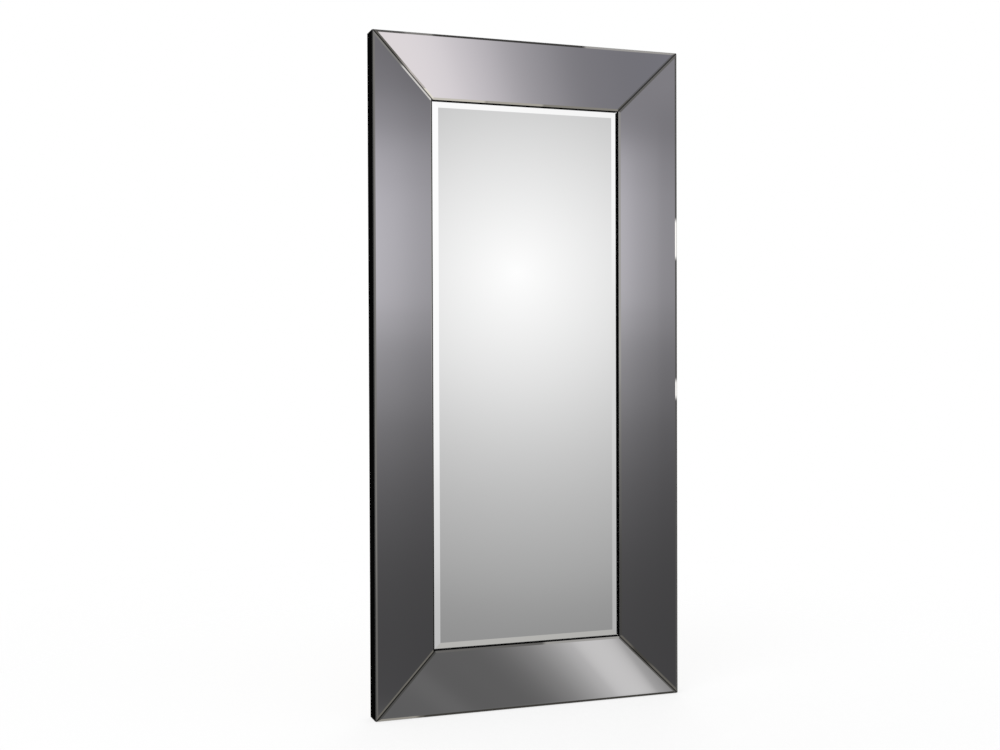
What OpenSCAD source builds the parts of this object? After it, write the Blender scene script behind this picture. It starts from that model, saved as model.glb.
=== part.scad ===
// Full-length mirror in a wide concave frame faced with grey mirror glass.
// It stands on its bottom edge or hangs from folding rings, upright or on its side.
// X runs to the right seen from the front, Y runs to the back and Z runs up.
// The origin is under the middle of the whole mirror, on the floor.

/* [Overall] */
// Width across the outer sides of the frame
overall_w = 850; // [700:10:1100]
// Height from the floor to the top of the frame
overall_h = 1750; // [1500:10:2100]

/* [Grey glass faces] */
// Width of each sloping face, seen square from the front
face_w = 162.5; // [120:0.5:200]
// How far the inner edge of a face lies behind its outer edge
recess = 24; // [12:1:30]
// Thickness of the grey mirror glass
glass_t = 4; // [3:0.5:6]
// Width of the bevel round each grey panel
panel_bevel_w = 5.5; // [3:0.5:10]
// How deep that bevel cuts at the panel's edge
panel_bevel_d = 1.8; // [0.6:0.1:2.4]
// Open seam between two grey panels, measured across the mitre
mitre_gap = 1; // [0.4:0.1:3]

/* [Centre mirror] */
// Thickness of the mirror plate
mirror_t = 5; // [4:1:6]
// Width of the bevel round the mirror plate
mirror_bevel_w = 25; // [15:1:35]
// How deep that bevel cuts at the plate's edge
mirror_bevel_d = 2.2; // [1:0.1:3]
// How far the plate reaches behind the frame's lip
mirror_overlap = 6; // [4:0.5:10]
// Free space between the plate's edge and its rebate
mirror_clearance = 1.5; // [0.5:0.1:3]
// Length of each setting block that the plate stands on
setting_l = 40; // [20:5:80]

/* [Frame boards] */
// Thickness of the lip in front of the mirror plate
lip_t = 4; // [3:0.5:5]
// How far the lip's inner edge stays back from the glass edge above it
lip_setback = 0.5; // [0:0.1:2]
// Thickness of the boards that form the outer sides
side_t = 18; // [15:1:22]
// Width of the shoulder inside a side board that the back board lies on
shoulder_w = 10; // [8:0.5:12]
// Thickness of the sloping boards under the grey panels
face_board_t = 9; // [8:1:12]
// Width of the battens beside the mirror plate
batten_w = 22; // [18:1:30]
// Length of a cross rib along its side of the frame
rib_l = 60; // [40:2:80]
// Distance between the two ribs in the top and bottom sides
rail_rib_spacing = 260; // [180:10:300]
// Leg of the triangular block in each corner
corner_leg = 60; // [30:5:90]
// Space between a corner block and the face boards over it
corner_clearance = 0.5; // [0.2:0.1:2]

/* [Backing] */
// Thickness of the board behind the mirror plate
backer_t = 9; // [6:1:12]
// Thickness of the foam strips behind that board
foam_t = 2; // [1:0.5:5]
// Width of each foam strip
foam_w = 30; // [20:5:50]
// Distance between neighbouring foam strips
foam_pitch = 420; // [300:10:600]
// Thickness of the back board
back_t = 6; // [4:1:9]
// Space round the back board's edge
back_clearance = 0.5; // [0.2:0.1:2]

/* [Mounting tape] */
// Thickness of the tape under the glass
tape_t = 1; // [0.5:0.1:2]
// Width of the tape
tape_w = 25; // [12:1:40]
// Distance from a grey panel's long edges to its tape
tape_inset = 14; // [10:1:30]
// Distance between the tapes behind the mirror plate
mirror_tape_pitch = 160; // [100:10:200]
// Distance that a tape stops short of the ends of its glass
tape_end = 40; // [20:5:80]

/* [Screws] */
// Diameter of the screws in the back board
screw_d = 3.5; // [3:0.5:4.5]
// Diameter of the screws in the hangers
hanger_screw_d = 4; // [3:0.5:5]
// Length of every screw under its head
screw_l = 16; // [12:1:17]
// Height of a screw head
head_h = 2.2; // [1.6:0.1:2.6]
// Space round a screw in the wood that it bites into
pilot_clearance = 0.05; // [0.02:0.01:0.1]
// Space past a screw's point in the wood
pilot_tip = 1; // [0.5:0.1:1.4]
// Space round a screw in the sheet that it clamps
hole_clearance = 0.25; // [0.1:0.05:0.5]
// Widest distance between neighbouring screws
screw_pitch = 300; // [200:10:400]
// Distance from a frame corner to the nearest edge screw
screw_corner = 60; // [40:5:100]
// Distance from a batten's corner to its nearest screw
batten_screw_corner = 60; // [40:5:100]

/* [Hangers] */
// Diameter of the ring's wire
wire_d = 4; // [3:0.5:5]
// Width of the ring between the centres of its wire
ring_w = 36; // [34:1:46]
// Bend radius of the ring's two corners
ring_corner = 5; // [4:0.5:6]
// Straight length below each corner, before the round bow starts
ring_straight = 4; // [2:1:8]
// Thickness of the strap's sheet metal
strap_t = 1.5; // [1:0.1:2]
// Width of the strap
strap_w = 24; // [18:1:26]
// Play round the wire inside the strap's barrel
barrel_clearance = 0.05; // [0.02:0.01:0.09]
// Space between the folded ring and the strap under it
ring_clearance = 0.4; // [0.3:0.1:1]
// Space between the folded ring's bow and the first screw head
bow_clearance = 4; // [2:0.5:8]
// Distance between the strap's two screws
hanger_screw_pitch = 16; // [12:1:20]
// Length of the strap beyond its last screw
strap_end = 8; // [6:1:12]
// Height of the upper hangers' screws below the top of the frame
hanger_drop = 300; // [260:10:350]
// Distance between the two hangers for hanging it on its side
side_hanger_spacing = 600; // [400:20:700]

/* [Feet and bumpers] */
// Thickness of the pads that it stands on
pad_t = 2; // [1:0.5:5]
// Length of each floor pad along the bottom side
pad_l = 80; // [40:5:120]
// Depth of each floor pad from front to back
pad_d = 36; // [24:1:42]
// Distance from a frame corner to a pad's end
pad_inset = 60; // [30:5:120]
// Diameter of the bumpers that keep the hangers off the wall
bumper_d = 20; // [12:1:30]
// How much further than the hangers the bumpers reach
bumper_margin = 0.15; // [0.1:0.05:1]
// Distance from a frame corner's edges to a bumper's centre
bumper_inset = 45; // [35:1:60]

/* [Hidden] */
SIDES = ["left", "right", "top", "bottom"];
$fn = 48;

// Cutting bodies reach this far past the surfaces that they cut
cut_over = 2;
// Share of a screw head's height and radius taken by its chamfer
head_chamfer = 0.35;
// Width and depth of the cross in a screw head, as shares of the head's radius and height
cross_w = 0.3;
cross_d = 0.6;
// A screw head's radius, as a share of the shank's radius
head_ratio = 1.9;

// The slope of the faces, and the points that it fixes.
// Depths are measured from the plane of the panels' outer front edges to the back,
// and u is the distance in from the outer side of the frame.
slope = atan(recess / face_w);
edge_u = glass_t * sin(slope);
opening_u = edge_u + face_w;
lip_u = face_w - lip_setback;
plate_u = lip_u - mirror_overlap;
rebate_u = plate_u - mirror_clearance;
batten_u = rebate_u - batten_w;
slope_len = face_w / cos(slope);

// Rounds a depth to a hundredth, so that flat faces that meet there meet exactly
function neat(depth) = round(depth * 100) / 100;
function sheet_depth(u, below) = (u - edge_u) * tan(slope) + below / cos(slope);
function bed_depth(u) = sheet_depth(u, glass_t + tape_t);
function under_depth(u) = sheet_depth(u, glass_t + tape_t + face_board_t);

mirror_depth = neat(bed_depth(lip_u) + lip_t);
mirror_tape_depth = mirror_depth + mirror_t;
backer_depth = mirror_tape_depth + tape_t;
foam_depth = backer_depth + backer_t;
back_board_depth = foam_depth + foam_t;
frame_depth = back_board_depth + back_t;

// The hangers stand proud of the back board, and the bumpers a little more
wire_r = wire_d / 2;
ring_r = ring_w / 2;
bore_r = wire_r + barrel_clearance;
barrel_r = bore_r + strap_t;
axis_off = strap_t + ring_clearance + wire_r;
bumper_t = axis_off + barrel_r + bumper_margin;

// The bevel takes the outermost edge away, so the front lies a little behind depth zero
front_depth = min(panel_bevel_w * sin(slope), panel_bevel_d * cos(slope));
overall_d = frame_depth - front_depth + bumper_t;
zero_y = neat(-overall_d / 2 - front_depth);
mirror_y = zero_y + mirror_depth;
back_board_y = zero_y + back_board_depth;
back_y = zero_y + frame_depth;

frame_h = overall_h - pad_t;
mid_z = pad_t + frame_h / 2;
plate_size = [overall_w - 2 * plate_u, frame_h - 2 * plate_u];

// Screws and their places, in from the outer side and along each side from its middle
screw_r = screw_d / 2;
hanger_screw_r = hanger_screw_d / 2;
hanger_head_r = hanger_screw_r * head_ratio;
edge_screw_u = side_t - shoulder_w / 2;
batten_screw_u = rebate_u - batten_w / 2;

function side_len(side) = (side == "left" || side == "right") ? frame_h : overall_w;
function spread(span) =
    let (steps = ceil(span / screw_pitch))
    [for (i = [0:steps]) -span / 2 + i * span / steps];
function edge_marks(side) = spread(side_len(side) - 2 * screw_corner);
function batten_marks(side) = spread(side_len(side) - 2 * (rebate_u + batten_screw_corner));

// Hangers: heights from the middle of the frame, and the ring's sizes
hanger_u = (side_t + batten_u) / 2;
upper_rise = overall_h - hanger_drop - mid_z;
side_rise = side_hanger_spacing / 2;
stile_ribs = [-upper_rise, -side_rise, side_rise, upper_rise];
rail_ribs = [-rail_rib_spacing / 2, rail_rib_spacing / 2];
ring_drop = ring_corner + ring_straight + ring_r;
first_screw = ring_drop + wire_r + bow_clearance + hanger_head_r;
axis_rise = first_screw + hanger_screw_pitch / 2;
hanger_marks = [-hanger_screw_pitch / 2, hanger_screw_pitch / 2];

// Puts a shape that is drawn for the bottom side onto any side, with X along that side
// (up on the left and right sides) and Z towards the mirror
module on_side(side) {
    if (side == "bottom")
        translate([0, 0, pad_t]) children();
    else if (side == "top")
        translate([0, 0, overall_h]) mirror([0, 0, 1]) children();
    else if (side == "right")
        translate([overall_w / 2, 0, mid_z]) rotate([0, -90, 0]) children();
    else
        mirror([1, 0, 0]) translate([overall_w / 2, 0, mid_z]) rotate([0, -90, 0]) children();
}

// Runs an outline of [u, depth] points along X
module run_along(length, outline)
    translate([0, zero_y, 0])
        rotate([0, -90, 0]) linear_extrude(length, center = true) polygon(outline);

// The same with both ends cut at the frame's mitres
module mitred(length, outline)
    intersection() {
        run_along(length, outline);
        rotate([90, 0, 0])
            linear_extrude(2 * overall_d, center = true)
                polygon([
                    [-length / 2, 0], [length / 2, 0],
                    [length / 2 - opening_u, opening_u], [opening_u - length / 2, opening_u]
                ]);
    }

// Removes the bevel along one edge of a flat sheet, from corner a to corner b
module bevel_cut(a, b, bevel_w, bevel_d) {
    run = b - a;
    length = norm(run) + 2 * cut_over;
    steep = bevel_d / bevel_w;
    translate([a[0], 0, a[1]])
        rotate([0, -atan2(run[1], run[0]), 0])
            translate([length - cut_over, 0, 0])
                rotate([0, -90, 0])
                    linear_extrude(length)
                        polygon([
                            [-cut_over, -cut_over * steep],
                            [bevel_w + cut_over, -cut_over * steep],
                            [-cut_over, bevel_d + cut_over * steep]
                        ]);
}

// A flat sheet with its front at y = 0 and a bevel round its front edges
module bevelled_sheet(corners, thickness, bevel_w, bevel_d)
    difference() {
        translate([0, thickness, 0])
            rotate([90, 0, 0]) linear_extrude(thickness) polygon(corners);
        for (i = [0:len(corners) - 1])
            bevel_cut(corners[i], corners[(i + 1) % len(corners)], bevel_w, bevel_d);
    }

// Moves to the plane of a grey panel, with Z up its slope from the outer edge
module on_slope()
    translate([0, zero_y, edge_u]) rotate([-slope, 0, 0]) children();

// Half the length of a side's grey panel at a distance up its slope
function panel_half(side, up) =
    side_len(side) / 2 - edge_u - up * cos(slope) - mitre_gap / sqrt(2);

// Centre mirror: a thick plate with a wide bevel
module mirror_plate()
    color("gainsboro")
        translate([0, mirror_y, mid_z])
            bevelled_sheet(
                [
                    [-plate_size[0] / 2, -plate_size[1] / 2],
                    [plate_size[0] / 2, -plate_size[1] / 2],
                    [plate_size[0] / 2, plate_size[1] / 2],
                    [-plate_size[0] / 2, plate_size[1] / 2]
                ],
                mirror_t, mirror_bevel_w, mirror_bevel_d
            );

// Grey mirror glass on one side of the frame
module panel(side)
    color("dimgray")
        on_side(side)
            on_slope()
                bevelled_sheet(
                    [
                        [-panel_half(side, 0), 0],
                        [panel_half(side, 0), 0],
                        [panel_half(side, slope_len), slope_len],
                        [-panel_half(side, slope_len), slope_len]
                    ],
                    glass_t, panel_bevel_w, panel_bevel_d
                );

module panel_left() panel("left");
module panel_right() panel("right");
module panel_top() panel("top");
module panel_bottom() panel("bottom");

// Hole for a screw, which runs towards the front from the origin
module screw_hole(radius, depth)
    rotate([90, 0, 0])
        translate([0, 0, -cut_over]) cylinder(h = depth + cut_over, r = radius);

// Pan-head wood screw, its head's underside at the origin and its point towards the front
module screw(radius, length)
    rotate([90, 0, 0]) {
        head_r = radius * head_ratio;
        chamfer_h = head_h * head_chamfer;
        cylinder(h = length - radius, r = radius);
        translate([0, 0, length - radius]) cylinder(h = radius, r1 = radius, r2 = radius / 4);
        difference() {
            union() {
                translate([0, 0, chamfer_h - head_h]) cylinder(h = head_h - chamfer_h, r = head_r);
                translate([0, 0, -head_h])
                    cylinder(h = chamfer_h, r1 = head_r * (1 - head_chamfer), r2 = head_r);
            }
            for (turn = [0, 90])
                rotate([0, 0, turn])
                    translate([-head_r / 2, -head_r * cross_w / 2, -head_h * (1 + cross_d)])
                        cube([head_r, head_r * cross_w, head_h * 2 * cross_d]);
        }
    }

// Outer side board, with a shoulder for the back board
module side_board(side)
    color("black")
        on_side(side)
            difference() {
                mitred(side_len(side), [
                    [0, bed_depth(0)],
                    [side_t, bed_depth(side_t)],
                    [side_t, back_board_depth],
                    [side_t - shoulder_w, back_board_depth],
                    [side_t - shoulder_w, frame_depth],
                    [0, frame_depth]
                ]);
                for (mark = edge_marks(side))
                    translate([mark, back_y, edge_screw_u])
                        screw_hole(screw_r + pilot_clearance, screw_l + pilot_tip);
            }

module side_left() side_board("left");
module side_right() side_board("right");
module side_top() side_board("top");
module side_bottom() side_board("bottom");

// Sloping board under a grey panel, with the rebate and the lip for the mirror plate
module face_board(side)
    color("darkslategray")
        on_side(side)
            mitred(side_len(side), [
                [side_t, bed_depth(side_t)],
                [lip_u, bed_depth(lip_u)],
                [lip_u, mirror_depth],
                [rebate_u, mirror_depth],
                [rebate_u, under_depth(rebate_u)],
                [side_t, under_depth(side_t)]
            ]);

module face_board_left() face_board("left");
module face_board_right() face_board("right");
module face_board_top() face_board("top");
module face_board_bottom() face_board("bottom");

// Batten beside the mirror plate, which the back board is screwed to
module batten(side)
    color("burlywood")
        on_side(side)
            difference() {
                mitred(side_len(side), [
                    [batten_u, under_depth(batten_u)],
                    [rebate_u, under_depth(rebate_u)],
                    [rebate_u, back_board_depth],
                    [batten_u, back_board_depth]
                ]);
                for (mark = batten_marks(side))
                    translate([mark, back_y, batten_screw_u])
                        screw_hole(screw_r + pilot_clearance, screw_l + pilot_tip);
            }

module batten_left() batten("left");
module batten_right() batten("right");
module batten_top() batten("top");
module batten_bottom() batten("bottom");

// Cross ribs in the hollow of one side, between its side board and its batten
module ribs(side, marks)
    color("peru")
        difference() {
            on_side(side)
                for (mark = marks)
                    translate([mark, 0, 0])
                        run_along(rib_l, [
                            [side_t, under_depth(side_t)],
                            [batten_u, under_depth(batten_u)],
                            [batten_u, back_board_depth],
                            [side_t, back_board_depth]
                        ]);
            at_hanger_screws()
                screw_hole(hanger_screw_r + pilot_clearance, screw_l + pilot_tip);
        }

module ribs_left() ribs("left", stile_ribs);
module ribs_right() ribs("right", stile_ribs);
module ribs_top() ribs("top", rail_ribs);
module ribs_bottom() ribs("bottom", rail_ribs);

// Triangular glue block in each inside corner of the side boards
module corner_blocks()
    color("peru")
        for (turn_x = [-1, 1], turn_z = [-1, 1])
            corner_block(turn_x, turn_z);

module corner_block(turn_x, turn_z) {
    front_depth_here = under_depth(side_t + corner_leg / 2) + corner_clearance;
    corner = [turn_x * (overall_w / 2 - side_t), turn_z * (frame_h / 2 - side_t)];
    translate([0, back_board_y, mid_z])
        rotate([90, 0, 0])
            linear_extrude(back_board_depth - front_depth_here)
                polygon([
                    corner,
                    corner - [turn_x * corner_leg, 0],
                    corner - [0, turn_z * corner_leg]
                ]);
}

// Two strips of mounting tape under each grey panel
module panel_tapes()
    color("whitesmoke")
        for (side = SIDES, low = [tape_inset, slope_len - tape_inset - tape_w])
            on_side(side)
                on_slope()
                    translate([tape_end - panel_half(side, low + tape_w), glass_t, low])
                        cube([2 * (panel_half(side, low + tape_w) - tape_end), tape_t, tape_w]);

// Upright strips of mounting tape between the mirror plate and its backing board
module mirror_tapes()
    color("whitesmoke")
        for (x = [-mirror_tape_pitch, 0, mirror_tape_pitch])
            translate([x - tape_w / 2, zero_y + mirror_tape_depth, mid_z])
                translate([0, 0, tape_end - plate_size[1] / 2])
                    cube([tape_w, tape_t, plate_size[1] - 2 * tape_end]);

// Blocks that the mirror plate stands on, at its quarter points
module setting_blocks()
    color("seagreen")
        for (x = [-plate_size[0] / 4, plate_size[0] / 4])
            translate([x - setting_l / 2, mirror_y, pad_t + rebate_u])
                cube([setting_l, mirror_t, mirror_clearance]);

// Board behind the mirror plate
module mirror_backer()
    color("tan")
        translate([-plate_size[0] / 2, zero_y + backer_depth, mid_z - plate_size[1] / 2])
            cube([plate_size[0], backer_t, plate_size[1]]);

// Foam strips that press the backing board forward
module backer_foam() {
    steps = floor((plate_size[1] - foam_w) / foam_pitch / 2);
    color("lightslategray")
        for (i = [-steps:steps])
            translate([
                tape_end - plate_size[0] / 2,
                zero_y + foam_depth,
                mid_z + i * foam_pitch - foam_w / 2
            ])
                cube([plate_size[0] - 2 * tape_end, foam_t, foam_w]);
}

// Back board, screwed to the side boards and the battens
module back_board() {
    inset = side_t - shoulder_w + back_clearance;
    color("sienna")
        difference() {
            translate([inset - overall_w / 2, back_board_y, pad_t + inset])
                cube([overall_w - 2 * inset, back_t, frame_h - 2 * inset]);
            at_board_screws()
                screw_hole(screw_r + hole_clearance, back_t + cut_over);
            at_hanger_screws()
                screw_hole(hanger_screw_r + hole_clearance, back_t + cut_over);
        }
}

// Places of the screws round the edge and along the battens, on the back of the frame
module at_edge_screws()
    for (side = SIDES)
        on_side(side)
            for (mark = edge_marks(side))
                translate([mark, back_y, edge_screw_u]) children();

module at_batten_screws()
    for (side = SIDES)
        on_side(side)
            for (mark = batten_marks(side))
                translate([mark, back_y, batten_screw_u]) children();

module at_board_screws() {
    at_edge_screws() children();
    at_batten_screws() children();
}

module edge_screws()
    color("silver") at_edge_screws() screw(screw_r, screw_l);

module batten_screws()
    color("silver") at_batten_screws() screw(screw_r, screw_l);

// Puts a hanger on the back board. The upper pair folds up and the pair on the left side
// folds out to the left, for hanging the mirror on its side
module at_upper(turn_x)
    translate([turn_x * (overall_w / 2 - hanger_u), back_y, mid_z + upper_rise]) children();

module at_side(turn_z)
    translate([hanger_u - overall_w / 2, back_y, mid_z + turn_z * side_rise])
        rotate([0, -90, 0]) children();

module at_hanger_screws() {
    for (turn = [-1, 1], rise = hanger_marks) {
        at_upper(turn) translate([0, 0, rise]) children();
        at_side(turn) translate([0, 0, rise]) children();
    }
}

// Sheet-metal strap with a rolled barrel for the ring
module strap()
    color("silver")
        difference() {
            union() {
                translate([-strap_w / 2, 0, -hanger_screw_pitch / 2 - strap_end])
                    cube([strap_w, strap_t, axis_rise + hanger_screw_pitch / 2 + strap_end]);
                translate([-strap_w / 2, axis_off, axis_rise])
                    rotate([0, 90, 0]) cylinder(h = strap_w, r = barrel_r);
            }
            translate([-strap_w / 2 - cut_over, axis_off, axis_rise])
                rotate([0, 90, 0]) cylinder(h = strap_w + 2 * cut_over, r = bore_r);
            for (rise = hanger_marks)
                translate([0, strap_t, rise])
                    screw_hole(hanger_screw_r + hole_clearance, strap_t + cut_over);
        }

module strap_upper_left() at_upper(-1) strap();
module strap_upper_right() at_upper(1) strap();
module strap_side_upper() at_side(1) strap();
module strap_side_lower() at_side(-1) strap();

// Wire ring with a straight bar through the barrel, folded down over its strap
module ring()
    color("gainsboro")
        translate([0, axis_off, axis_rise]) {
            bar = ring_w - 2 * ring_corner;
            translate([-bar / 2, 0, 0]) rotate([0, 90, 0]) cylinder(h = bar, r = wire_r);
            for (turn = [0, 180])
                rotate([0, 0, turn]) {
                    translate([bar / 2, 0, -ring_corner])
                        rotate([90, 0, 0])
                            rotate_extrude(angle = 90) translate([ring_corner, 0]) circle(wire_r);
                    translate([ring_r, 0, -ring_corner - ring_straight])
                        cylinder(h = ring_straight, r = wire_r);
                }
            translate([0, 0, -ring_corner - ring_straight])
                rotate([-90, 0, 0])
                    rotate_extrude(angle = 180) translate([ring_r, 0]) circle(wire_r);
        }

module ring_upper_left() at_upper(-1) ring();
module ring_upper_right() at_upper(1) ring();
module ring_side_upper() at_side(1) ring();
module ring_side_lower() at_side(-1) ring();

module hanger_screws()
    color("silver")
        at_hanger_screws()
            translate([0, strap_t, 0]) screw(hanger_screw_r, screw_l);

// Rubber bumpers near the corners of the back
module wall_bumpers()
    color("dimgray")
        for (x = [-1, 1], z = [-1, 1])
            translate([
                x * (overall_w / 2 - bumper_inset),
                back_y,
                mid_z + z * (frame_h / 2 - bumper_inset)
            ])
                rotate([-90, 0, 0]) cylinder(h = bumper_t, d = bumper_d);

// Pads under the bottom side
module floor_pads()
    color("darkgray")
        for (turn_x = [-1, 1])
            translate([
                turn_x * (overall_w / 2 - pad_inset - pad_l / 2) - pad_l / 2,
                zero_y + (bed_depth(0) + frame_depth - pad_d) / 2,
                0
            ])
                cube([pad_l, pad_d, pad_t]);

mirror_plate();
panel_left();
panel_right();
panel_top();
panel_bottom();
side_left();
side_right();
side_top();
side_bottom();
face_board_left();
face_board_right();
face_board_top();
face_board_bottom();
batten_left();
batten_right();
batten_top();
batten_bottom();
ribs_left();
ribs_right();
ribs_top();
ribs_bottom();
corner_blocks();
panel_tapes();
mirror_tapes();
setting_blocks();
mirror_backer();
backer_foam();
back_board();
edge_screws();
batten_screws();
strap_upper_left();
strap_upper_right();
strap_side_upper();
strap_side_lower();
ring_upper_left();
ring_upper_right();
ring_side_upper();
ring_side_lower();
hanger_screws();
wall_bumpers();
floor_pads();
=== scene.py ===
# Looks of a full-length mirror: finishes, worked edges, bumpers, studio and camera.
# Everything is in metres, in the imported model's own frame. Angles are in degrees.
import math

import bmesh
import bpy
from mathutils import Matrix, Vector


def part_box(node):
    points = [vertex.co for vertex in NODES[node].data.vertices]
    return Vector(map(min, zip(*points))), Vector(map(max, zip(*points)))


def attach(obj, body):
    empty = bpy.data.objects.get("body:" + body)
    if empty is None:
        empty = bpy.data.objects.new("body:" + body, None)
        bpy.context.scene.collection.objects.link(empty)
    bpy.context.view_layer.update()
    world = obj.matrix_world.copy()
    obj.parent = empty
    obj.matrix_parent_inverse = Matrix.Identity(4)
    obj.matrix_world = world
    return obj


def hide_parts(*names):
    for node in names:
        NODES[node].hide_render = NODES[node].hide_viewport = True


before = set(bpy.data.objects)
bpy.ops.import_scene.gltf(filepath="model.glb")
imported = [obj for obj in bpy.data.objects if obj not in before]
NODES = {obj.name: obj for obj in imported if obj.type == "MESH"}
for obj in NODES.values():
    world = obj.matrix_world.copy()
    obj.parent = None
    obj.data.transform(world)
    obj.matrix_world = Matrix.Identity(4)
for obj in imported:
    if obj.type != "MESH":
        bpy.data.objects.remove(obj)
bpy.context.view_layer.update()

MM = 0.001
WHITE = (1.0, 1.0, 1.0)

# Where the photograph was taken from: the camera's place, its turns and its lens
CAMERA_AT = (-1.2409, -3.2999, 0.9261)
CAMERA_YAW = 19.42
CAMERA_PITCH = -0.80
CAMERA_ROLL = -0.21
CAMERA_LENS = 47.91
CAMERA_SENSOR = 36.0

# Sizes of the frame that the finish of its panels follows. The left side board is as tall as the
# frame, and half of that height has 1 mm to spare.
side_low, side_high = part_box("side_left")
HALF_WIDTH = -side_low[0]
HALF_HEIGHT = (side_high[2] - side_low[2]) / 2 + 1 * MM
MID_HEIGHT = (side_high[2] + side_low[2]) / 2
FACE_WIDTH = 162.5 * MM
FACE_DEPTH = 24 * MM
# How far the normal of a panel's face leans towards the opening, and the least by which the normal
# of a bevel leans differently
PANEL_LEAN = FACE_DEPTH / math.hypot(FACE_WIDTH, FACE_DEPTH)
BEVEL_LEAN = 0.05

# Painted shade: strips at the very edge of the panels' bevels where the silver is darkened, standing
# for the dark glass edges and gaps seen there: their width and how softly they end, as a share of it
SHADED_STRIP_WIDTH = 1.5 * MM
SHADED_STRIP_SOFT = 0.2
# The left panel's strips are whole, and the one along its opening is wider by this much
SHADED_STRIP_MORE = 1.4 * MM
# The other panels' strips are fainter, and the ones along the opening are shifted off the glass
SHADED_STRIP_FAINT = 0.8
SHADED_STRIP_OFF = 5 * MM

# The glass shows the studio in front of it. A direction there has a turn, from straight ahead of
# the mirror towards +X, and a rise above the horizon. A curve holds (direction, level) points, and
# a pair of directions is what something fades in or out over.

# The centre mirror shows a glow, whose level goes by the angle from its middle
GLOW_TURN = 20.15
GLOW_RISE = 3.6
MIDDLE_GLOW = [(0, 1.085), (4, 0.872), (9, 0.58), (12.9, 0.418), (15.4, 0.32), (18, 0.29)]
# Where it takes the place of the flats on either side of it
AHEAD_TURN = ((10.5, 13.5), (25.5, 29.5))

# The left and right panels show those pale flats: how far they reach, and their level, which is a
# least level and a level by rise that is scaled by turn
FLATS_TURN = ((7.0, 7.7), (33.5, 34.1))
FLATS_RISE = ((-18, -14), (13, 17))
FLAT_LEAST = 0.13
FLAT_GLOW = [
    (-15, 0.045), (-11, 0.04), (-7.4, 0.11), (-3.7, 0.292), (-1.8, 0.47), (0.1, 0.655), (1.6, 0.90),
    (3.4, 1.10), (5.3, 1.13), (7.6, 1.0), (10.4, 0.56), (13.1, 0.31), (16, 0.25),
]
FLAT_FADE = [
    (7.2, 1.06), (7.9, 0.93), (8.6, 0.755), (9.3, 0.62), (9.9, 0.52), (12, 0.5), (29, 1.15),
    (31.1, 0.985), (33.2, 0.70), (34.5, 0.6),
]
# Above this rise and left of this turn the flat has one even level
HIGH_LEFT_RISE = (8, 11.5)
HIGH_LEFT_TURN = (12, 18)
HIGH_LEFT_LEVEL = 0.58

# The bevels show the studio round the flats, by rise and by turn: the lower level of the two counts
STUDIO_RISE = [
    (-90, 0.7), (-35, 0.5), (-21.5, 0.51), (-12, 0.57), (-9, 0.70), (-6, 0.85), (0, 1.05), (4, 1.07),
    (21, 1.04), (25, 0.85), (31, 0.38), (38, 0.55), (90, 0.9),
]
STUDIO_TURN = [
    (-24, 0.55), (-15, 0.6), (-10, 0.70), (-5, 0.78), (-1, 0.96), (3, 1.1), (36, 1.1), (42, 0.5),
    (46, 0.38), (55, 0.55), (66, 0.62),
]
# Share of the level by rise that is left towards the right
RIGHT_TURN = (20, 34)
RIGHT_SHARE = [
    (-17, 0.84), (-11, 0.82), (-7.5, 0.73), (-2, 0.72), (1.3, 0.78), (4, 0.87), (8, 0.95), (13, 0.92),
    (19, 0.84),
]
# The studio's two side walls, by rise, have a band of light. They begin at this angle from the glow.
WALLS_FROM = (38.5, 44)
WALL_GLOW = [
    (-60, 0.6), (-34, 0.6), (-18, 0.24), (-11, 0.25), (-6.8, 0.43), (-1.6, 1.0), (3.4, 1.5), (8, 1.3),
    (14, 0.75), (22, 0.5), (32, 0.72), (45, 0.6), (80, 0.8),
]
# Lamps and dark openings of that studio which the narrow bevels pick up: from and to in turn, from
# and to in rise, and level. Each fades over this angle round its edge.
SPOT_EDGE = 0.3
STUDIO_SPOTS = [
    # Outer bevel of the right panel
    (44, 49, 4.3, 5.6, 4.4), (44, 49, -1.65, -1.2, 4.4),
    # Outer bevel of the top panel, and the right part of the bottom panel's bevel at the opening
    (26.5, 34, 28.5, 39, 1.4), (17.9, 19.0, 30.5, 33.5, 0.9), (19.3, 26.2, 29.5, 34, 0.2),
    # Outer bevel of the bottom panel
    (14, 18.3, -35, -31.5, 1.2), (18.9, 31, -36, -31, 0.2),
    # Bevel of the top panel at the opening
    (20, 24, -43, -36.5, 2.3), (24.3, 27, -43, -36.5, 1.6), (27.3, 33, -43, -36.5, 0.95),
    # Bevels along the mitres at the top left
    (62, 68, 28, 31.9, 2.6), (62, 68, 32.2, 34, 0.9), (-11.4, -8, -33, -29.4, 3.2),
    # Bevels along the mitres at the bottom left and the bottom right
    (-13.5, -9, 25.5, 30.5, 0.3), (-16.6, -12, -38.3, -35, 0.25),
]

# The top and the bottom panel show a level card each, by the direction from a centre beside it
UPPER_GLOW = [
    (12.2, 1.88), (13.3, 1.92), (14.5, 1.83), (15.8, 1.57), (17.1, 1.28), (18.4, 0.965), (19.8, 0.745),
    (21.2, 0.568), (22.6, 0.508), (24, 0.485), (26, 0.515),
]
LOWER_GLOW = [
    (15, 0.30), (17, 0.305), (18.1, 0.335), (19, 0.292), (20, 0.295), (21.2, 0.322), (22.4, 0.50),
    (23.3, 0.77), (24.2, 1.165), (25.1, 1.50), (26, 0.93), (27, 0.42),
]

# Tints of what the glass shows: warm from below, cool high on the flats, by rise
WARM = (1.0, 0.975, 0.90)
WARM_RISE = (-30, -14)
COOL = (0.997, 0.985, 1.034)
COOL_RISE = (-10, 10)
# Where the white behind the object begins and where it is whole, as the part of a direction that
# points straight back
WHITE_BEHIND = (-0.05, 0.1)
# What everything that isn't glossy gets from all round
STUDIO_LIGHT = 0.8

# The floor's radius, where it fades away, and how much of it is pure white to the eye
FLOOR_RADIUS = 3.0
FLOOR_FADE = (0.7, 2.8)
FLOOR_WHITE = 0.78


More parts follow.
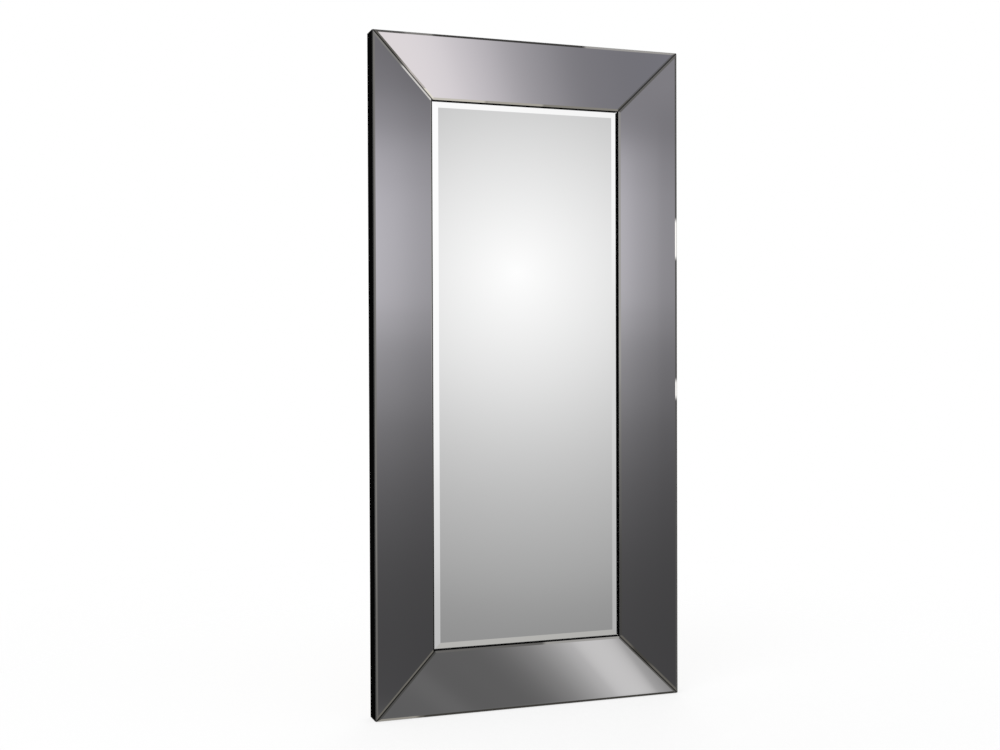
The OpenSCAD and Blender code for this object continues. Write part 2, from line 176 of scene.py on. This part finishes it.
class Tree:
    """A node tree with short names for the nodes that the finishes are made of. The functions that
    make a finish call theirs t."""

    def __init__(self, owner):
        owner.use_nodes = True
        self.nodes = owner.node_tree.nodes
        self.links = owner.node_tree.links
        self.nodes.clear()

    def add(self, kind, inputs=None, **settings):
        node = self.nodes.new(kind)
        for name, value in settings.items():
            setattr(node, name, value)
        for socket, value in (inputs or {}).items():
            self.set(node, socket, value)
        return node

    def first(self, kind, inputs=None, **settings):
        """The first output of a new node."""
        return self.add(kind, inputs, **settings).outputs[0]

    def set(self, node, socket, value):
        """Links value to the socket if it is a socket itself, and sets it otherwise."""
        target = node.inputs[socket]
        if isinstance(value, bpy.types.NodeSocket):
            self.links.new(value, target)
        elif target.type == "RGBA" and len(value) == 3:
            target.default_value = (*value, 1.0)
        else:
            target.default_value = value

    def math(self, operation, a, b=0.0):
        return self.first("ShaderNodeMath", {0: a, 1: b}, operation=operation)

    def measure(self, operation, a, b=(0.0, 0.0, 0.0)):
        """A plain number worked out from one or two vectors."""
        node = self.add("ShaderNodeVectorMath", {0: a, 1: b}, operation=operation)
        return node.outputs["Value"]

    def place(self, stretch=(1, 1, 1)):
        """The object's own coordinates, stretched along its axes."""
        where = self.add("ShaderNodeTexCoord").outputs["Object"]
        return self.first("ShaderNodeMapping", {"Vector": where, "Scale": stretch})

    def axes(self, vector):
        return self.add("ShaderNodeSeparateXYZ", {0: vector}).outputs

    def noise(self, vector, scale, detail=3.0, rough=0.5):
        inputs = {"Vector": vector, "Scale": scale, "Detail": detail, "Roughness": rough}
        return self.first("ShaderNodeTexNoise", inputs)

    def cells(self, vector, scale):
        """The distance to the middle of the nearest of many cells."""
        return self.add("ShaderNodeTexVoronoi", {"Vector": vector, "Scale": scale}).outputs["Distance"]

    def between(self, value, low, high, start=0.0, end=1.0, smooth=False):
        """Maps value from start..end to low..high and keeps it there."""
        inputs = {"Value": value, "From Min": start, "From Max": end, "To Min": low, "To Max": high}
        kind = "SMOOTHSTEP" if smooth else "LINEAR"
        return self.first("ShaderNodeMapRange", inputs, interpolation_type=kind)

    def band(self, value, rise, fall):
        """1 between rise and fall, each a pair of values over which it softly goes up or down."""
        up = self.between(value, 0, 1, *rise, smooth=True)
        down = self.between(value, 1, 0, *fall, smooth=True)
        return self.math("MULTIPLY", up, down)

    def mix(self, factor, a, b):
        """Goes from colour a to colour b while factor goes from 0 to 1."""
        node = self.add("ShaderNodeMix", data_type="RGBA")
        for socket, value in ((0, factor), (6, a), (7, b)):
            self.set(node, socket, value)
        return node.outputs[2]

    def blend(self, factor, a, b):
        """The same for plain numbers."""
        node = self.add("ShaderNodeMix", data_type="FLOAT")
        for socket, value in ((0, factor), (2, a), (3, b)):
            self.set(node, socket, value)
        return node.outputs[0]

    def curve(self, value, points):
        """A smooth line through (value, level) points, which stays level beyond its two ends."""
        low, high = points[0][0], points[-1][0]
        top = max(level for _, level in points)
        node = self.add("ShaderNodeFloatCurve", {"Value": self.between(value, 0, 1, low, high)})
        line = node.mapping.curves[0].points
        line[0].location = (0, points[0][1] / top)
        line[1].location = (1, points[-1][1] / top)
        for at, level in points[1:-1]:
            line.new((at - low) / (high - low), level / top)
        node.mapping.update()
        return self.math("MULTIPLY", node.outputs[0], top)

    def bump(self, height, distance, strength, normal=None):
        inputs = {"Height": height, "Distance": distance, "Strength": strength}
        if normal is not None:
            inputs["Normal"] = normal
        return self.first("ShaderNodeBump", inputs)

    def emission(self, colour, strength):
        return self.first("ShaderNodeEmission", {"Color": colour, "Strength": strength})

    def mix_shaders(self, factor, a, b):
        return self.first("ShaderNodeMixShader", {0: factor, 1: a, 2: b})

    def finish(self, shader, kind="ShaderNodeOutputMaterial"):
        self.links.new(shader, self.add(kind).inputs["Surface"])


def new_finish(name):
    """A new material and its empty tree."""
    material = bpy.data.materials.new(name)
    return material, Tree(material)


def new_object(name, data):
    """A new object in the scene, for a mesh, a lamp or the camera."""
    made = bpy.data.objects.new(name, data)
    bpy.context.scene.collection.objects.link(made)
    return made


def shade(colour, factor):
    """The same colour, darker below a factor of 1 and lighter above it."""
    return tuple(channel * factor for channel in colour)


def principled(tree, **inputs):
    """The finish's shader; words in the names of its sockets are joined by underscores."""
    named = {name.replace("_", " "): value for name, value in inputs.items()}
    tree.finish(tree.first("ShaderNodeBsdfPrincipled", named))


def panel_edges(t, normal, where):
    """Two masks for the sloping frame panels: their bevels, which don't lean as their faces do, and
    the strips at the very edge of the glass where the silver is darkened as painted shade."""
    x, _, z = t.axes(where)[:3]
    z = t.math("SUBTRACT", z, MID_HEIGHT)
    inside_x = t.math("SUBTRACT", HALF_WIDTH, t.math("ABSOLUTE", x))
    inside_z = t.math("SUBTRACT", HALF_HEIGHT, t.math("ABSOLUTE", z))
    upright = t.math("LESS_THAN", inside_x, inside_z)
    lean_x = t.math("MULTIPLY", t.axes(normal)["X"], t.math("SIGN", x))
    lean_z = t.math("MULTIPLY", t.axes(normal)["Z"], t.math("SIGN", z))
    lean = t.math("ADD", t.blend(upright, lean_z, lean_x), PANEL_LEAN)
    bevel = t.math("GREATER_THAN", t.math("ABSOLUTE", lean), BEVEL_LEAN)

    left_panel = t.math("MULTIPLY", upright, t.math("LESS_THAN", x, 0.0))
    from_outside = t.math("MINIMUM", inside_x, inside_z)
    from_opening = t.math("SUBTRACT", FACE_WIDTH, from_outside)
    from_opening = t.math("ADD", from_opening, t.blend(left_panel, SHADED_STRIP_OFF, -SHADED_STRIP_MORE))
    from_mitre = t.math("ABSOLUTE", t.math("SUBTRACT", inside_x, inside_z))
    from_mitre = t.math("MULTIPLY", from_mitre, math.sqrt(0.5))
    least = t.math("MINIMUM", t.math("MINIMUM", from_outside, from_mitre), from_opening)
    # Painted shade: the strip mask is 1 at the edge of the glass and fades out beyond the strip
    begins, ends = SHADED_STRIP_WIDTH * (1 - SHADED_STRIP_SOFT), SHADED_STRIP_WIDTH * (1 + SHADED_STRIP_SOFT)
    wear_and_shade = t.between(least, 1, 0, begins, ends, smooth=True)
    return bevel, t.math("MULTIPLY", wear_and_shade, t.blend(left_panel, SHADED_STRIP_FAINT, 1.0))


def silvered_glass(name, silver, bevel, edge, back):
    """Mirror glass: silver seen through its front and bevels, bare ground edges, a painted back.

    bevel is the silver's colour on the panels' bevels, or None for the plate, which has it all over.
    """
    material, t = new_finish(name)
    normal = t.add("ShaderNodeTexCoord").outputs["Normal"]
    facing = t.axes(normal)["Y"]
    front = t.math("LESS_THAN", facing, -0.5)
    behind = t.math("GREATER_THAN", facing, 0.5)
    where = t.place()
    silver_now = t.mix(t.noise(where, 3.0), silver, shade(silver, 0.985))
    if bevel:
        bevelled, wear_and_shade = panel_edges(t, normal, where)
        silver_now = t.mix(bevelled, silver_now, bevel)
        # Painted shade: in the strips the bevels' silver is darkened to a tenth
        silver_now = t.mix(t.math("MULTIPLY", bevelled, wear_and_shade), silver_now, shade(bevel, 0.1))
    paint = t.mix(t.noise(where, 60), back, shade(back, 0.8))
    ground = t.mix(t.noise(where, 400), edge, shade(edge, 1.6))
    colour = t.mix(front, t.mix(behind, ground, paint), silver_now)
    wiped = t.noise(t.place(stretch=(1, 1, 6)), 9.0, detail=5)
    smears = t.between(wiped, 0.0, 0.02, 0.55, 0.8, smooth=True)
    rough = t.blend(front, t.blend(behind, 0.22, 0.6), smears)
    principled(t, Base_Color=colour, Metallic=front, Roughness=rough, Specular_IOR_Level=0.1)
    return material


def black_lacquer():
    """Sprayed matt black: a fine sprayed grain, dust in the film and slightly rubbed edges."""
    material, t = new_finish("black_lacquer")
    where = t.place()
    sprayed = t.noise(where, 700, detail=2)
    drift = t.noise(where, 6, detail=4)
    dust = t.between(t.cells(where, 240), 1, 0, 0.04, 0.09)
    rounded = t.first("ShaderNodeBevel", {"Radius": 0.8 * MM}, samples=4)
    true_normal = t.add("ShaderNodeNewGeometry").outputs["True Normal"]
    near_edge = t.between(t.measure("DOT_PRODUCT", rounded, true_normal), 1, 0, 0.8, 0.99)
    rubbed = t.math("MULTIPLY", near_edge, t.between(drift, 0, 1, 0.4, 0.7))
    colour = t.mix(drift, (0.0013, 0.0013, 0.0014), (0.0027, 0.0026, 0.0026))
    colour = t.mix(t.math("MULTIPLY", dust, 0.4), colour, (0.007, 0.007, 0.0068))
    colour = t.mix(rubbed, colour, (0.0055, 0.0053, 0.0051))
    principled(
        t, Base_Color=colour, Roughness=t.between(drift, 0.55, 0.7, 0.3, 0.7),
        Specular_IOR_Level=0.0, Normal=t.bump(sprayed, 0.02 * MM, 0.5, rounded),
    )
    return material


def softwood(name, along):
    """Planed softwood with its grain along X or Z."""
    material, t = new_finish(name)
    stretch = (1, 12, 12) if along == "X" else (12, 12, 1)
    fibres = t.noise(t.place(stretch), 14, detail=6, rough=0.65)
    ring_stretch = tuple(0.12 if scale == 1 else 1 for scale in stretch)
    rings = t.add(
        "ShaderNodeTexWave",
        {"Vector": t.place(ring_stretch), "Scale": 38, "Distortion": 3.5, "Detail": 3},
        bands_direction="Y",
    ).outputs["Fac"]
    colour = t.mix(rings, (0.78, 0.60, 0.38), (0.60, 0.41, 0.22))
    colour = t.mix(t.between(fibres, 0, 0.35, 0.45, 0.8), colour, (0.42, 0.27, 0.14))
    principled(
        t, Base_Color=colour, Roughness=t.between(fibres, 0.5, 0.72),
        Normal=t.bump(fibres, 0.15 * MM, 0.6),
    )
    return material


def fibreboard(name, light, dark, rough):
    """Pressed fibres: mottled, finely specked and faintly uneven."""
    material, t = new_finish(name)
    where = t.place()
    mottle = t.noise(where, 26, detail=5, rough=0.6)
    fibres = t.noise(t.place(stretch=(1, 1, 0.35)), 900, detail=4, rough=0.7)
    clouds = t.noise(where, 3.5, detail=2)
    colour = t.mix(mottle, dark, light)
    colour = t.mix(t.between(fibres, 0, 0.55, 0.5, 0.75), colour, shade(dark, 0.45))
    colour = t.mix(t.between(clouds, 0, 0.25, 0.4, 0.8), colour, shade(light, 1.25))
    principled(
        t, Base_Color=colour, Roughness=t.between(mottle, *rough, 0.3, 0.7),
        Specular_IOR_Level=0.35, Normal=t.bump(fibres, 0.06 * MM, 0.6),
    )
    return material


def pored(name, light, dark, scale, depth, rough):
    """Foam and tape: closed pores, with a softly uneven tone."""
    material, t = new_finish(name)
    where = t.place()
    pores = t.cells(where, scale)
    colour = t.mix(t.between(pores, 0, 1, 0.0, 0.6), dark, light)
    colour = t.mix(t.between(t.noise(where, 20), 0, 0.3, 0.4, 0.8), colour, dark)
    principled(
        t, Base_Color=colour, Roughness=t.between(pores, rough, rough + 0.1),
        Normal=t.bump(pores, depth, 0.7),
    )
    return material


def moulded(name, colour, wear_and_shade, rough):
    """Plastic or rubber with a fine moulded grain and paler, scuffed patches."""
    material, t = new_finish(name)
    where = t.place()
    grain = t.noise(where, 1400, detail=2)
    scuffs = t.noise(where, 90, detail=5, rough=0.7)
    now = t.mix(t.between(scuffs, 0, 0.6, 0.55, 0.8), colour, wear_and_shade)
    principled(
        t, Base_Color=now, Roughness=t.between(scuffs, *rough, 0.3, 0.7),
        Normal=t.bump(grain, 0.05 * MM, 0.5),
    )
    return material


def plated(name, colour, tarnish, rough, brushed):
    """Plated steel: cloudy tone, short rubbed scratches and a little roughness of its own."""
    material, t = new_finish(name)
    clouds = t.noise(t.place(), 120, detail=4)
    lines = t.noise(t.place(stretch=brushed), 500, detail=3, rough=0.6)
    now = t.mix(t.between(clouds, 0, 0.7, 0.45, 0.8), colour, tarnish)
    cloudy = t.between(clouds, *rough, 0.3, 0.7)
    scratched = t.between(lines, 0, 0.08, 0.5, 0.9)
    principled(
        t, Base_Color=now, Metallic=1.0, Roughness=t.math("ADD", cloudy, scratched),
        Normal=t.bump(lines, 0.01 * MM, 0.35),
    )
    return material


def make_finishes():
    """One finish for each material slot of the record, by the slot's name."""
    return {
        "clear_mirror": silvered_glass(
            "clear_mirror", silver=(0.922, 0.923, 0.923), bevel=None,
            edge=(0.06, 0.13, 0.11), back=(0.28, 0.29, 0.30)),
        "grey_mirror": silvered_glass(
            "grey_mirror", silver=(0.363, 0.357, 0.371), bevel=(0.236, 0.230, 0.222),
            edge=(0.004, 0.005, 0.005), back=(0.16, 0.16, 0.17)),
        "black_lacquer": black_lacquer(),
        "batten_wood": softwood("batten_wood", along="Z"),
        "raw_board": fibreboard(
            "raw_board", light=(0.60, 0.46, 0.31), dark=(0.48, 0.35, 0.22), rough=(0.75, 0.9)),
        "back_board": fibreboard(
            "back_board", light=(0.33, 0.215, 0.125), dark=(0.22, 0.135, 0.075), rough=(0.38, 0.55)),
        "mounting_tape": pored(
            "mounting_tape", light=(0.86, 0.86, 0.84), dark=(0.70, 0.70, 0.68),
            scale=1500, depth=0.1 * MM, rough=0.7),
        "setting_plastic": moulded(
            "setting_plastic", colour=(0.10, 0.33, 0.20), wear_and_shade=(0.20, 0.42, 0.30), rough=(0.35, 0.5)),
        "foam": pored(
            "foam", light=(0.24, 0.26, 0.29), dark=(0.12, 0.13, 0.15),
            scale=700, depth=0.3 * MM, rough=0.85),
        "screw_steel": plated(
            "screw_steel", colour=(0.60, 0.585, 0.53), tarnish=(0.40, 0.38, 0.32),
            rough=(0.28, 0.42), brushed=(1, 1, 1)),
        "hanger_steel": plated(
            "hanger_steel", colour=(0.60, 0.595, 0.575), tarnish=(0.43, 0.42, 0.40),
            rough=(0.18, 0.32), brushed=(8, 1, 1)),
        "bumper_rubber": moulded(
            "bumper_rubber", colour=(0.035, 0.035, 0.036), wear_and_shade=(0.10, 0.10, 0.10), rough=(0.6, 0.8)),
        "pad_rubber": moulded(
            "pad_rubber", colour=(0.13, 0.13, 0.13), wear_and_shade=(0.22, 0.21, 0.20), rough=(0.75, 0.9)),
    }


def dress_nodes(finishes):
    """Gives every CAD node the finish of its slot; level battens get grain that runs level."""
    level_wood = softwood("batten_wood_level", along="X")
    for name, node in NODES.items():
        for slot in node.material_slots:
            slot_name = slot.material.name.split(".")[0]
            level = slot_name == "batten_wood" and name.split("_")[-1] in ("top", "bottom")
            slot.material = level_wood if level else finishes[slot_name]


def worked_edges(names, width):
    """Takes the sharp edges off CAD nodes, by modifiers that leave their own vertices alone."""
    for name in names:
        node = NODES[name]
        weld = node.modifiers.new("join", "WELD")
        weld.merge_threshold = 0.002 * MM
        flat = node.modifiers.new("flat", "DECIMATE")
        flat.decimate_type = "DISSOLVE"
        flat.angle_limit = math.radians(0.5)
        edge = node.modifiers.new("edge", "BEVEL")
        edge.width = width
        edge.segments = 2
        edge.limit_method = "ANGLE"
        edge.angle_limit = math.radians(30)
        edge.harden_normals = True


def lathed(name, profile, places):
    """Closed round pieces in one mesh, turned about Y from (radius, depth) points at each place."""
    turns = 56
    points = []
    faces = []
    for px, py, pz in places:
        rings = []
        for radius, depth in profile:
            steps = turns if radius > 0 else 1
            rings.append([len(points) + i for i in range(steps)])
            for i in range(steps):
                angle = 2 * math.pi * i / turns
                points.append((px + radius * math.cos(angle), py + depth, pz + radius * math.sin(angle)))
        for a, b in zip(rings, rings[1:]):
            for i in range(turns):
                j = (i + 1) % turns
                if len(a) == 1:
                    faces.append((a[0], b[i], b[j]))
                elif len(b) == 1:
                    faces.append((a[i], b[0], a[j]))
                else:
                    faces.append((a[i], b[i], b[j], a[j]))
    mesh = bpy.data.meshes.new(name)
    mesh.from_pydata(points, [], faces)
    mesh.shade_smooth()
    mesh.set_sharp_from_angle(angle=math.radians(35))
    return new_object(name, mesh)


def rounded_bumpers(finish):
    """Rubber bumpers with a rounded rim, a slight taper and a shallow dish, in the CAD's places."""
    low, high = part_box("wall_bumpers")
    radius = 10 * MM
    depth = high[1] - low[1]
    taper = 0.5 * MM
    rim = 1.4 * MM
    rim_steps = 6
    # The dish in the bumper's end: radius and depth, in millimetres
    dish = [(6.6, 0.25), (5.4, 0.8), (2.5, 1.0), (0, 1.05)]
    profile = [(0, 0), (radius, 0), (radius - taper, depth - rim)]
    for step in range(1, rim_steps + 1):
        angle = math.radians(90 * step / rim_steps)
        across = radius - taper - rim + rim * math.cos(angle)
        profile.append((across, depth - rim + rim * math.sin(angle)))
    profile += [(across * MM, depth - down * MM) for across, down in dish]
    places = [
        (x, low[1], z)
        for x in (low[0] + radius, high[0] - radius) for z in (low[2] + radius, high[2] - radius)
    ]
    piece = lathed("rubber_bumpers", profile, places)
    piece.data.materials.append(finish)
    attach(piece, "frame")
    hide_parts("wall_bumpers")


def middle_glow(t, turn, rise):
    """What the centre mirror shows: a glow that fades evenly all round."""
    direction = t.first("ShaderNodeCombineXYZ", {"X": turn, "Y": rise})
    away = t.measure("DISTANCE", direction, (GLOW_TURN, GLOW_RISE, 0))
    return t.curve(away, MIDDLE_GLOW)


def flats_glow(t, turn, rise):
    """What the left and right panels show, from low to high."""
    level = t.math("MULTIPLY", t.curve(rise, FLAT_GLOW), t.curve(turn, FLAT_FADE))
    level = t.math("ADD", level, FLAT_LEAST)
    high = t.between(rise, 0, 1, *HIGH_LEFT_RISE, smooth=True)
    left = t.between(turn, 1, 0, *HIGH_LEFT_TURN)
    return t.blend(t.math("MULTIPLY", high, left), level, HIGH_LEFT_LEVEL)


def studio_around(t, turn, rise):
    """The studio round the flats, which the bevels show."""
    share = t.blend(t.between(turn, 0, 1, *RIGHT_TURN), 1.0, t.curve(rise, RIGHT_SHARE))
    level = t.math("MULTIPLY", t.curve(rise, STUDIO_RISE), share)
    level = t.math("MINIMUM", level, t.curve(turn, STUDIO_TURN))
    sideways = t.math("ABSOLUTE", t.math("SUBTRACT", turn, GLOW_TURN))
    walls = t.between(sideways, 0, 1, *WALLS_FROM, smooth=True)
    level = t.blend(walls, level, t.curve(rise, WALL_GLOW))
    for left, right, bottom, top, light in STUDIO_SPOTS:
        across = t.band(turn, (left - SPOT_EDGE, left), (right, right + SPOT_EDGE))
        upright = t.band(rise, (bottom - SPOT_EDGE, bottom), (top, top + SPOT_EDGE))
        level = t.blend(t.math("MULTIPLY", across, upright), level, light)
    return level


def make_world():
    """A white studio. Its front part, behind the camera, is what the glass shows: a wall with a
    soft glow in its middle and pale flats to its left and right."""
    world = bpy.data.worlds.new("studio")
    bpy.context.scene.world = world
    t = Tree(world)
    x, y, z = t.axes(t.add("ShaderNodeTexCoord").outputs["Generated"])[:3]
    turn = t.math("DEGREES", t.math("ARCTAN2", x, t.math("MULTIPLY", y, -1)))
    rise = t.math("DEGREES", t.math("ARCSINE", z))
    ahead = t.band(turn, *AHEAD_TURN)
    flats = t.math("MULTIPLY", t.band(turn, *FLATS_TURN), t.band(rise, *FLATS_RISE))
    wall = t.blend(ahead, flats_glow(t, turn, rise), middle_glow(t, turn, rise))
    front = t.blend(flats, studio_around(t, turn, rise), wall)

    # Behind the object it is white for the camera, and for metal and glass as well
    path = t.add("ShaderNodeLightPath").outputs
    glossy = path["Is Glossy Ray"]
    reflected = t.blend(t.between(y, 0, 1, *WHITE_BEHIND), front, 1.0)
    level = t.blend(glossy, STUDIO_LIGHT, reflected)
    level = t.blend(path["Is Transmission Ray"], level, 1.0)
    level = t.blend(path["Is Camera Ray"], level, 1.0)

    warm = t.math("MULTIPLY", t.between(rise, 1, 0, *WARM_RISE), glossy)
    beside = t.math("SUBTRACT", flats, t.math("MULTIPLY", flats, ahead))
    cool = t.math("MULTIPLY", t.math("MULTIPLY", beside, glossy), t.between(rise, 0, 1, *COOL_RISE))
    colour = t.mix(cool, t.mix(warm, WHITE, WARM), COOL)
    background = t.first("ShaderNodeBackground", {"Color": colour, "Strength": level})
    t.finish(background, "ShaderNodeOutputWorld")


def make_floor():
    """A pale floor that fades into the white background and keeps the object's shadow."""
    mesh = bpy.data.meshes.new("floor")
    floor = new_object("floor", mesh)
    disc = bmesh.new()
    bmesh.ops.create_circle(disc, cap_ends=True, radius=FLOOR_RADIUS, segments=96)
    disc.to_mesh(mesh)
    disc.free()
    material, t = new_finish("floor")
    where = t.place()
    pale = t.mix(t.noise(where, 300), (0.93, 0.93, 0.93), (0.95, 0.95, 0.95))
    cloth = t.first("ShaderNodeBsdfDiffuse", {"Color": pale})
    path = t.add("ShaderNodeLightPath").outputs
    seen = t.math("MAXIMUM", path["Is Camera Ray"], path["Is Transmission Ray"])
    seen = t.math("MAXIMUM", seen, path["Is Glossy Ray"])
    whitened = t.mix_shaders(t.math("MULTIPLY", seen, FLOOR_WHITE), cloth, t.emission(WHITE, 1.0))
    fade = t.between(t.measure("LENGTH", where), 0, 1, *FLOOR_FADE, smooth=True)
    t.finish(t.mix_shaders(fade, whitened, t.first("ShaderNodeBsdfTransparent")))
    mesh.materials.append(material)
    floor.visible_glossy = False


def reflected_card(name, height, centre, outline, glow, appear, vanish, end, tints, facing_up):
    """A level card that only reflections meet, and only from one side.

    Its glow and tint change with the direction from a centre beside it. It fades in over appear
    and out over vanish, two pairs of directions, and at its far end over end, a pair of distances.
    """
    mesh = bpy.data.meshes.new(name)
    card = new_object(name, mesh)
    corners = [(x - centre[0], y - centre[1], 0) for x, y in outline]
    order = range(len(corners)) if facing_up else reversed(range(len(corners)))
    mesh.from_pydata(corners, [], [tuple(order)])
    card.location = (*centre, height)
    for ray in ("camera", "diffuse", "shadow", "volume_scatter"):
        setattr(card, "visible_" + ray, False)
    material, t = new_finish(name)
    where = t.place()
    x, y, _ = t.axes(where)[:3]
    turn = t.math("DEGREES", t.math("ARCTANGENT", t.math("DIVIDE", x, t.math("MULTIPLY", y, -1))))
    near = t.between(t.measure("LENGTH", where), 1, 0, *end, smooth=True)
    shown = t.math("MULTIPLY", t.band(turn, appear, vanish), near)
    before = t.math("SUBTRACT", 1.0, t.add("ShaderNodeNewGeometry").outputs["Backfacing"])
    shown = t.math("MULTIPLY", shown, before)
    colour = t.mix(t.between(turn, 0, 1, glow[0][0], glow[-1][0]), *tints)
    light = t.emission(colour, t.curve(turn, glow))
    t.finish(t.mix_shaders(shown, t.first("ShaderNodeBsdfTransparent"), light))
    mesh.materials.append(material)


def make_cards():
    """The card that the top panel shows and the one that the bottom panel shows, which has a slit."""
    reflected_card(
        "upper_card", height=1.585, centre=(-1.0, 3.0),
        outline=[(-1, -7), (5, -7), (5, -0.06), (-1, -0.06)],
        glow=UPPER_GLOW, appear=(10.2, 12.3), vanish=(26, 36), end=(6.8, 9.5),
        tints=((1.041, 0.989, 0.970), (0.962, 0.972, 1.065)), facing_up=True,
    )
    reflected_card(
        "lower_card", height=0.167, centre=(-1.7, 4.0),
        outline=[
            (-1, -14), (9, -14), (9, -0.06), (-0.27, -0.06), (-0.47, -0.36), (-0.52, -0.34),
            (-0.32, -0.06), (-1, -0.06),
        ],
        glow=LOWER_GLOW, appear=(7.0, 14.8), vanish=(26.8, 37), end=(12.2, 16.5),
        tints=((1.0, 1.01, 0.985), (1.0, 1.0, 0.965)), facing_up=False,
    )


def area_lamp(name, at, aim, size, power):
    """A rectangular lamp at one place that shines towards another."""
    data = bpy.data.lights.new(name, "AREA")
    data.shape = "RECTANGLE"
    data.size, data.size_y = size
    data.energy = power
    lamp = new_object(name, data)
    lamp.location = at
    lamp.rotation_euler = (Vector(aim) - Vector(at)).to_track_quat("-Z", "Y").to_euler()


def make_lamps():
    """One lamp high up at the left front and a weaker one behind the object, at the right."""
    area_lamp("key", at=(-2.6, -2.4, 4.2), aim=(0, 0, 0.6), size=(2.4, 2.4), power=60)
    area_lamp("rear", at=(1.8, 3.4, 3.2), aim=(0, 0, 0.9), size=(2.0, 2.0), power=45)


def make_camera():
    """The photograph's camera: turned about the upright, then tilted and rolled."""
    data = bpy.data.cameras.new("camera")
    data.lens = CAMERA_LENS
    data.sensor_width = CAMERA_SENSOR
    camera = new_object("camera", data)
    turned = Matrix.Rotation(math.radians(-CAMERA_YAW), 4, "Z")
    tilted = Matrix.Rotation(math.radians(90 + CAMERA_PITCH), 4, "X")
    rolled = Matrix.Rotation(math.radians(CAMERA_ROLL), 4, "Z")
    camera.matrix_world = Matrix.Translation(CAMERA_AT) @ turned @ tilted @ rolled
    bpy.context.scene.camera = camera


make_camera()
FINISHES = make_finishes()
dress_nodes(FINISHES)
rounded_bumpers(FINISHES["bumper_rubber"])
worked_edges(["side_left", "side_right", "side_top", "side_bottom"], 0.5 * MM)
worked_edges(["floor_pads"], 0.4 * MM)
make_world()
make_floor()
make_cards()
make_lamps()
bpy.context.scene.view_settings.view_transform = "Standard"
